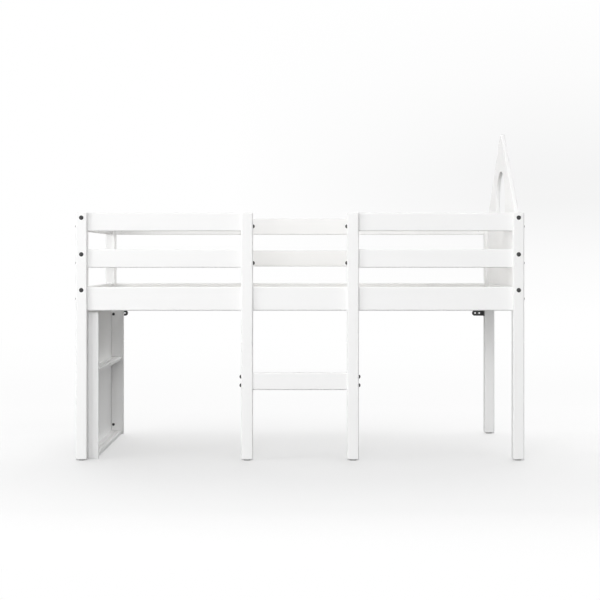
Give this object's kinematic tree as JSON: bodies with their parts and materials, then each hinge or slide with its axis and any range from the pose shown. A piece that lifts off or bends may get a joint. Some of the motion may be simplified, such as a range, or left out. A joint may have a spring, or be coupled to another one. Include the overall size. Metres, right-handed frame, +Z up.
{
  "type": "mid sleeper bed",
  "caption": "White mid-height bed with guard rails, a ladder in the open side, a house-shaped end panel with a round window and a shallow bookcase under the other end.",
  "frame": {"origin": "on the floor, under the middle of the bed", "axes": "+X along the bed towards the house-shaped end panel, +Y from the ladder side to the wall, +Z up"},
  "size_m": [1.9894, 0.9897, 1.4822],
  "materials": {
    "white_timber": "satin white paint",
    "white_board": "smooth satin white paint",
    "birch": "planed, untreated",
    "beech": "fluted, untreated",
    "black_steel": "satin black",
    "zinc_steel": "zinc plated",
    "glide_plastic": "matt"
  },
  "bodies": {
    "root": {"barrel_nuts": "zinc_steel", "bookcase_back": "white_board", "bookcase_bolts": "black_steel", "bookcase_bottom_shelf": "white_board", "bookcase_dowels": "beech", "bookcase_middle_shelf": "white_board", "bookcase_side_back": "white_board", "bookcase_side_front": "white_board", "bracket_screws": "black_steel", "crosswise_bolts": "black_steel", "foot_glides": "glide_plastic", "gable_panel": "white_board", "ladder_step": "white_timber", "ledger_back": "birch", "ledger_front": "birch", "ledger_screws": "zinc_steel", "lengthwise_bolts": "black_steel", "lower_guard_back": "white_timber", "lower_guard_front_left": "white_timber", "lower_guard_front_right": "white_timber", "lower_guard_left_end": "white_timber", "main_rail_back": "white_timber", "main_rail_front": "white_timber", "main_rail_left_end": "white_timber", "main_rail_right_end": "white_timber", "post_back_left": "white_timber", "post_back_right": "white_timber", "post_front_left": "white_timber", "post_front_right": "white_timber", "rail_dowels": "beech", "slat_1": "birch", "slat_10": "birch", "slat_11": "birch", "slat_12": "birch", "slat_13": "birch", "slat_14": "birch", "slat_2": "birch", "slat_3": "birch", "slat_4": "birch", "slat_5": "birch", "slat_6": "birch", "slat_7": "birch", "slat_8": "birch", "slat_9": "birch", "slat_screws": "zinc_steel", "step_bolts": "black_steel", "stile_bolts": "black_steel", "stile_left": "white_timber", "stile_right": "white_timber", "stile_screws": "zinc_steel", "upper_guard_back": "white_timber", "upper_guard_front_left": "white_timber", "upper_guard_front_right": "white_timber", "upper_guard_left_end": "white_timber", "wall_bracket_left": "black_steel", "wall_bracket_right": "black_steel"}
  },
  "joints": []
}
